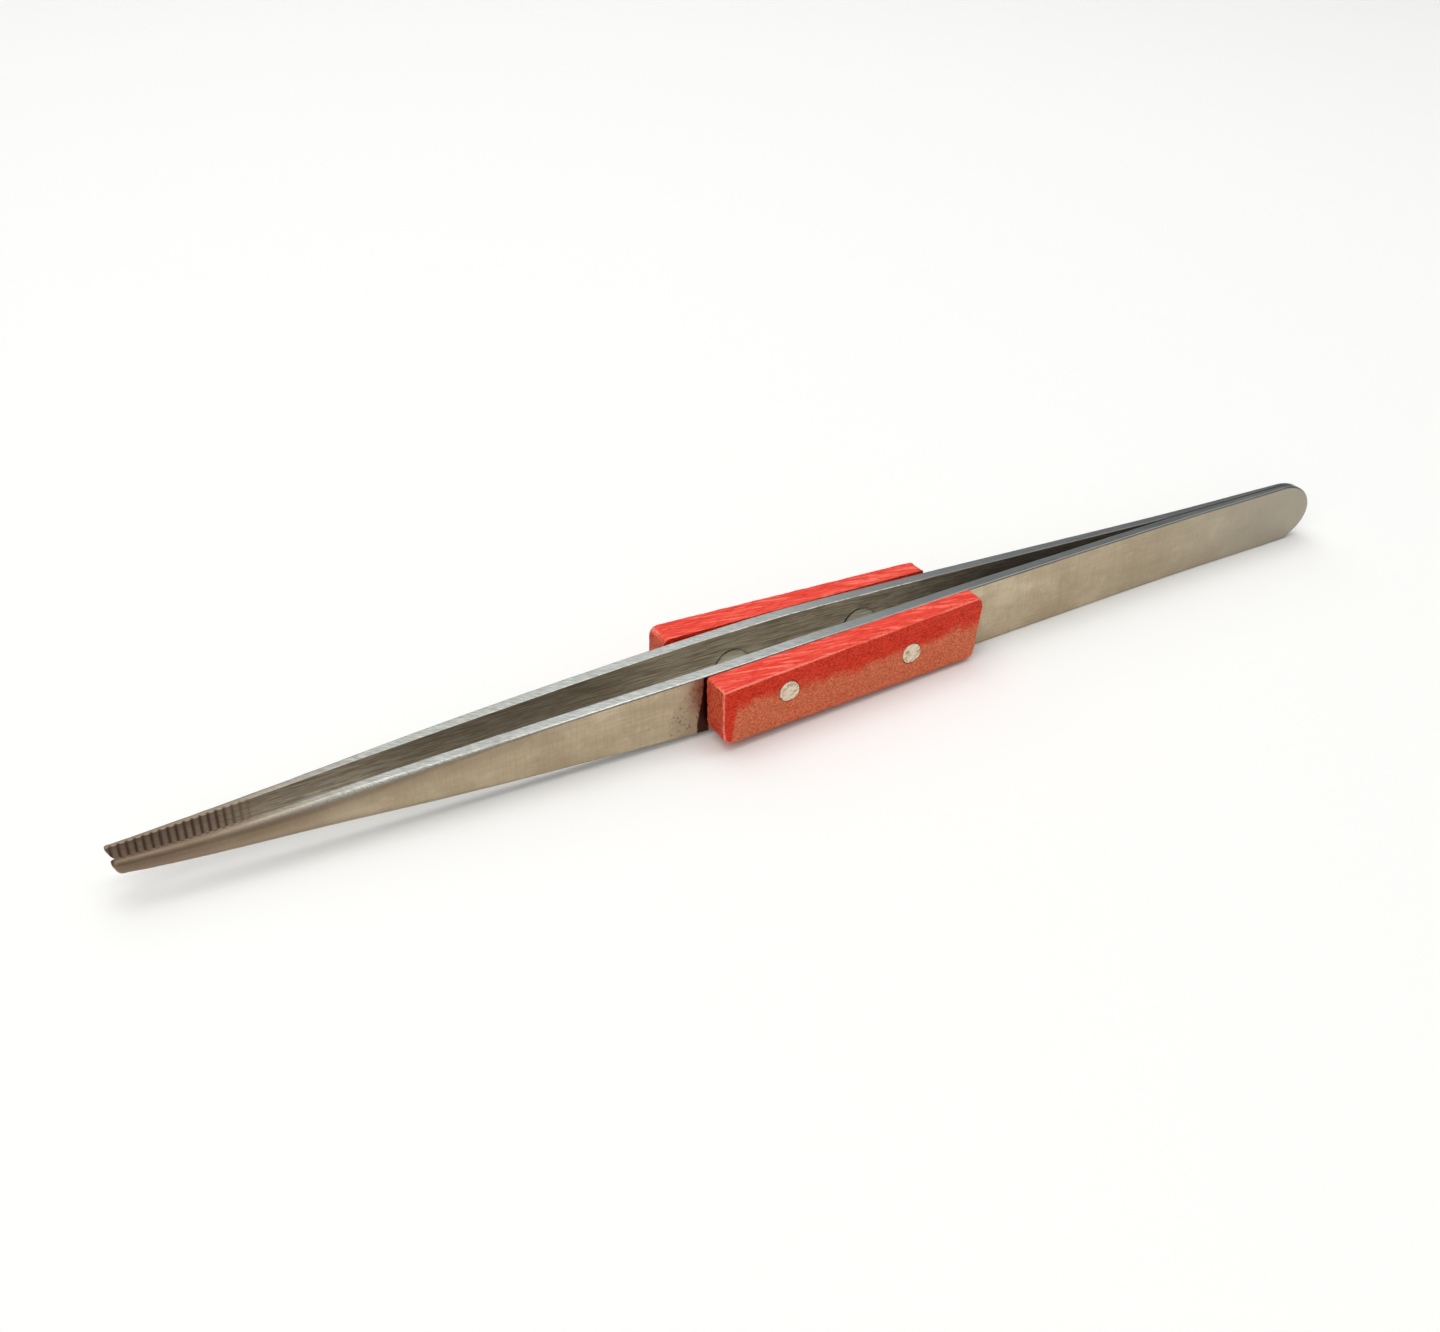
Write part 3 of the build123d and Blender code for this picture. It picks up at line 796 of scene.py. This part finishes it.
def steel(grip_ends, heads):
    """Spring steel: satin faces, ground edges, dull inner faces, tips tinted by heat, painted brown shade
    in the grooves and a painted glint on the right blade's inner upper corner. grip_ends holds the x of
    each side's grip end, where a dark reflection and shadow of the grip's end are painted over the blade,
    and heads the middles of the rivet heads, which have painted shade round them."""
    g = Graph("satin_spring_steel")
    x, y, z = g.split(g.place)
    _, ny, nz = g.split(g.normal)
    on_edge = g.math("MAXIMUM", g.ramp(nz, 0.25, 0.75), g.ramp(nz, -0.90, -0.99))
    inside = g.ramp(g.times(ny, g.math("SIGN", y)), -0.3, -0.7)
    blotches = g.noise((0.10, 0.3, 0.30), detail=5, roughness=0.65)
    long_lines = g.noise((0.12, 5.0, 5.0), detail=4, roughness=0.7)
    cross_lines = g.noise((5.0, 0.5, 0.35), detail=3, roughness=0.6, offset=(3, 1, 7))
    strokes = g.noise((0.8, 9, 9), detail=3, roughness=0.65, turn=(0, 0, 38))
    ragged = g.times(g.minus(g.noise((1.1, 1.1, 1.1), detail=4), 0.5), 1.6)

    colour = satin_face(g, x, z, blotches, long_lines, cross_lines)
    colour = g.mix(inside, colour, dull_inside(g, x))
    colour = g.mix(on_edge, colour, ground_edge(g, x, y, strokes))
    colour = jaw_tint(g, colour, x, y, z, on_edge, inside)
    glint_mask = painted_glint(g, x, y, ny, nz)
    # painted glint along the right blade's inner upper corner
    colour = g.mix(glint_mask, colour, PAINTED_GLINT_COLOUR)
    # smoke and soot ahead of each grip, with a painted reflection and shadow of the grip's end
    for side, end_x in grip_ends.items():
        colour = grip_smoke_and_shadow(g, colour, side, end_x, x, y, z, on_edge, ragged)
    # painted shade in the ring gap round each rivet head
    for side, head in heads:
        colour = head_ring_shade(g, colour, side, head, x, y, inside, ragged)

    jaw_rounding = g.times(g.ramp(nz, 0.02, 0.15), g.ramp(x, -24, -42, 0.0, 0.18))
    roughness = g.plus(
        g.ramp(long_lines, 0.3, 0.7, 0.27, 0.35), g.ramp(blotches, 0.3, 0.7, 0.0, 0.06),
        g.times(inside, 0.16), jaw_rounding)
    relief = g.bump(long_lines, 0.010, 0.5)
    relief = g.bump(cross_lines, 0.008, 0.35, relief)
    relief = g.bump(strokes, 0.012, 0.4, relief)
    # metallic falls away on the painted glint, so it shows as a bright matt line
    metallic = g.math("SUBTRACT", g.ramp(inside, 0.0, 1.0, 1.0, 0.72), glint_mask, clamp=True)
    g.fill(g.shader.inputs["Metallic"], metallic)
    return g.finish(colour, roughness, relief)


RUBBED_EDGE = (0.95, 0.30, 0.22)
DARK_SPECK = (0.20, 0.010, 0.005)


def fibre():
    """Dyed vulcanised fibre: bright on top, worn to salmon on the lower part of its outer face."""
    g = Graph("red_dyed_fibre")
    x, _, z = g.split(g.place)
    nx, _, nz = g.split(g.normal)
    grain = g.noise((0.40, 5, 5), detail=5, roughness=0.7)
    streaks = g.noise((0.20, 2.6, 2.6), detail=4, roughness=0.7, turn=(0, 0, 14), offset=(5, 1, 1))
    specks = g.noise((3.5, 5, 5), detail=4, roughness=0.7, offset=(4, 4, 4))
    patches = g.noise((0.13, 0.35, 0.35), detail=3, roughness=0.5, offset=(2, 7, 1))
    blots = g.noise((0.8, 1.1, 1.1), detail=4, roughness=0.65, offset=(6, 3, 8))
    on_top = g.ramp(nz, 0.40, 0.72)
    on_end = g.ramp(g.math("ABSOLUTE", nx), 0.60, 0.85)
    deep = g.layers(
        g.mix(g.ramp(specks, 0.36, 0.62), (0.42, 0.010, 0.003), (0.80, 0.048, 0.014)),
        (g.ramp(grain, 0.46, 0.68, 0.0, 0.6), (0.80, 0.070, 0.026)),
        (g.ramp(streaks, 0.48, 0.36, 0.0, 0.5), (0.42, 0.010, 0.004)),
    )
    worn = g.layers(
        g.mix(g.ramp(specks, 0.36, 0.62), (0.46, 0.085, 0.034), (0.78, 0.205, 0.095)),
        (g.ramp(streaks, 0.50, 0.70, 0.0, 0.60), (0.62, 0.075, 0.028)),
        (g.ramp(blots, 0.50, 0.70, 0.0, 0.40), (0.50, 0.150, 0.065)),
    )
    top = g.layers(
        g.mix(g.ramp(grain, 0.30, 0.70), (0.62, 0.024, 0.012), (0.88, 0.080, 0.048)),
        (g.ramp(streaks, 0.50, 0.64, 0.0, 0.75), (0.94, 0.220, 0.155)),
        (g.ramp(blots, 0.46, 0.30, 0.0, 0.6), (0.60, 0.020, 0.009)),
    )
    end = g.layers(
        g.mix(g.ramp(specks, 0.35, 0.60), (0.34, 0.012, 0.006), (0.72, 0.135, 0.058)),
        (g.ramp(blots, 0.46, 0.60, 0.0, 0.7), (0.48, 0.020, 0.008)),
    )
    height = g.minus(z, g.ramp(x, -14, 12, 6.0, 5.2))       # over the line that the wear reaches up to
    for spread, by in ((patches, 4.0), (blots, 2.4), (streaks, 3.0)):
        height = g.plus(height, g.times(g.minus(spread, 0.5), by))
    height = g.plus(height, g.ramp(x, -13.6, -15.2, 0.0, 7.0))
    rubbed = g.times(
        g.edges(g.normal, 0.80, 0.97), g.ramp(patches, 0.38, 0.60, 0.20, 0.75),
        g.ramp(specks, 0.35, 0.55, 0.3, 1.0))
    colour = g.layers(
        g.mix(g.ramp(height, 1.0, -1.0), deep, worn),
        (on_top, top),
        (on_end, end),
        (rubbed, RUBBED_EDGE),
        (g.ramp(specks, 0.36, 0.26, 0.0, 0.55), DARK_SPECK),
    )
    roughness = g.ramp(patches, 0.3, 0.7, 0.52, 0.68)
    relief = g.bump(grain, 0.03, 0.6)
    relief = g.bump(specks, 0.04, 0.6, relief)
    return g.finish(colour, roughness, relief, Specular_IOR_Level=0.18)


def aluminium():
    """Soft rivet metal with the marks of a file outside, ground with the blade inside."""
    g = Graph("filed_aluminium")
    y = g.split(g.place)[1]
    marks = g.noise((0.5, 2, 5.5), detail=4, roughness=0.7, turn=(0, 40, 0))
    pits = g.noise((2.2, 2.2, 2.2), detail=3, offset=(5, 5, 5))
    lines = g.noise((0.22, 6, 6), detail=5)
    filed = g.mix(g.ramp(marks, 0.34, 0.50), (0.22, 0.165, 0.10), (0.80, 0.70, 0.53))
    filed = g.mix(g.ramp(pits, 0.56, 0.66, 0.0, 0.7), filed, (0.30, 0.23, 0.15))
    ground = g.mix(g.ramp(lines, 0.36, 0.66), (0.60, 0.57, 0.48), (0.95, 0.92, 0.80))
    inside = g.ramp(g.math("ABSOLUTE", y), 4.2, 3.6)
    colour = g.mix(inside, filed, ground)
    roughness = g.ramp(marks, 0.3, 0.7, 0.55, 0.42)
    relief = g.bump(marks, 0.03, 0.7)
    return g.finish(colour, roughness, relief, Metallic=0.8)


# --- the object ----------------------------------------------------------------------------------------
def grip_front(side):
    """Height of a grip's front face over x."""
    edges = cad_edges([f"{side}_grip"])
    low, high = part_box(f"{side}_grip")
    xs = (low.x / MM + 2, high.x / MM - 3)
    ys = [section(edges, x)[:, 0].max() for x in xs]
    return lambda x: ys[0] + (ys[1] - ys[0]) * (x - xs[0]) / (xs[1] - xs[0])


steel_look = steel(
    {side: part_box(f"{side}_grip")[0].x / MM for side in SIDES},
    [(side, rivet_axis(side, end)[0]) for side in SIDES for end in ("tip", "heel")],
)
fibre_look = fibre()
aluminium_look = aluminium()
for side in SIDES:
    blade(side).data.materials.append(steel_look)
    grip(side).data.materials.append(fibre_look)
    for end in ("tip", "heel"):
        rivet(side, end, grip_front(side)).data.materials.append(aluminium_look)

# --- floor, light and camera ---------------------------------------------------------------------------
FLOOR_HALF = 3.0            # metres
FLOOR_COLOUR = (0.90, 0.90, 0.89, 1)
WORLD_COLOUR = (0.94, 0.97, 1.0, 1)
WORLD_STRENGTH = 0.22

floor_mesh = bpy.data.meshes.new("floor")
floor_mesh.from_pydata(
    [(-FLOOR_HALF, -FLOOR_HALF, 0), (FLOOR_HALF, -FLOOR_HALF, 0),
     (FLOOR_HALF, FLOOR_HALF, 0), (-FLOOR_HALF, FLOOR_HALF, 0)], [], [(0, 1, 2, 3)])
floor = bpy.data.objects.new("floor", floor_mesh)
bpy.context.scene.collection.objects.link(floor)
floor_look = bpy.data.materials.new("pale_floor")
floor_look.use_nodes = True
floor_shader = floor_look.node_tree.nodes["Principled BSDF"]
floor_shader.inputs["Base Color"].default_value = FLOOR_COLOUR
floor_shader.inputs["Roughness"].default_value = 0.9
floor_shader.inputs["Specular IOR Level"].default_value = 0.1
floor_mesh.materials.append(floor_look)

world = bpy.data.worlds.new("studio")
bpy.context.scene.world = world
world.use_nodes = True
background = world.node_tree.nodes["Background"]
background.inputs["Color"].default_value = WORLD_COLOUR
background.inputs["Strength"].default_value = WORLD_STRENGTH


def softbox(name, azimuth, elevation, distance, size, power, colour):
    """An area light aimed at the object. Azimuth is in degrees from +X towards +Y."""
    light = bpy.data.lights.new(name, "AREA")
    light.shape = "RECTANGLE"
    light.size, light.size_y = size
    light.energy = power
    light.color = colour
    lamp = bpy.data.objects.new(name, light)
    around, up = math.radians(azimuth), math.radians(elevation)
    away = Vector((math.cos(around) * math.cos(up), math.sin(around) * math.cos(up), math.sin(up)))
    lamp.location = away * distance
    lamp.rotation_euler = away.to_track_quat("Z", "Y").to_euler()
    bpy.context.scene.collection.objects.link(lamp)


softbox("back_light", 82, 40, 0.9, (0.75, 0.55), 1.3, (0.97, 0.99, 1.0))
softbox("top_light", 110, 80, 1.0, (0.9, 0.9), 5.6, (1.0, 0.99, 0.97))
softbox("side_light", 8, 61, 1.0, (0.8, 0.8), 2.0, (1.0, 0.99, 0.97))
softbox("front_light", -135, 40, 1.0, (0.9, 0.9), 4.6, (1.0, 0.98, 0.95))

CAMERA_AZIMUTH = -28.95      # from -Y towards -X
CAMERA_ELEVATION = 32.64
CAMERA_ROLL = 0.167
CAMERA_DISTANCE = 208.55
CAMERA_AIM = Vector((-9.15, 4.07, 2.99))
SENSOR = 36.0
LENS = 43.0


def camera():
    data = bpy.data.cameras.new("camera")
    data.sensor_width = SENSOR
    data.lens = LENS
    data.clip_start = 0.01
    view = bpy.data.objects.new("camera", data)
    around, up, roll = (math.radians(a) for a in (CAMERA_AZIMUTH, CAMERA_ELEVATION, CAMERA_ROLL))
    back = Vector((math.sin(around) * math.cos(up), -math.cos(around) * math.cos(up), math.sin(up)))
    level = Vector((math.cos(around), math.sin(around), 0))
    above = back.cross(level)
    right = level * math.cos(roll) + above * math.sin(roll)
    top = above * math.cos(roll) - level * math.sin(roll)
    view.matrix_world = Matrix.Translation((CAMERA_AIM + back * CAMERA_DISTANCE) * MM) @ Matrix(
        (right, top, back)).transposed().to_4x4()
    bpy.context.scene.collection.objects.link(view)
    bpy.context.scene.camera = view


camera()
bpy.context.scene.view_settings.view_transform = "Standard"
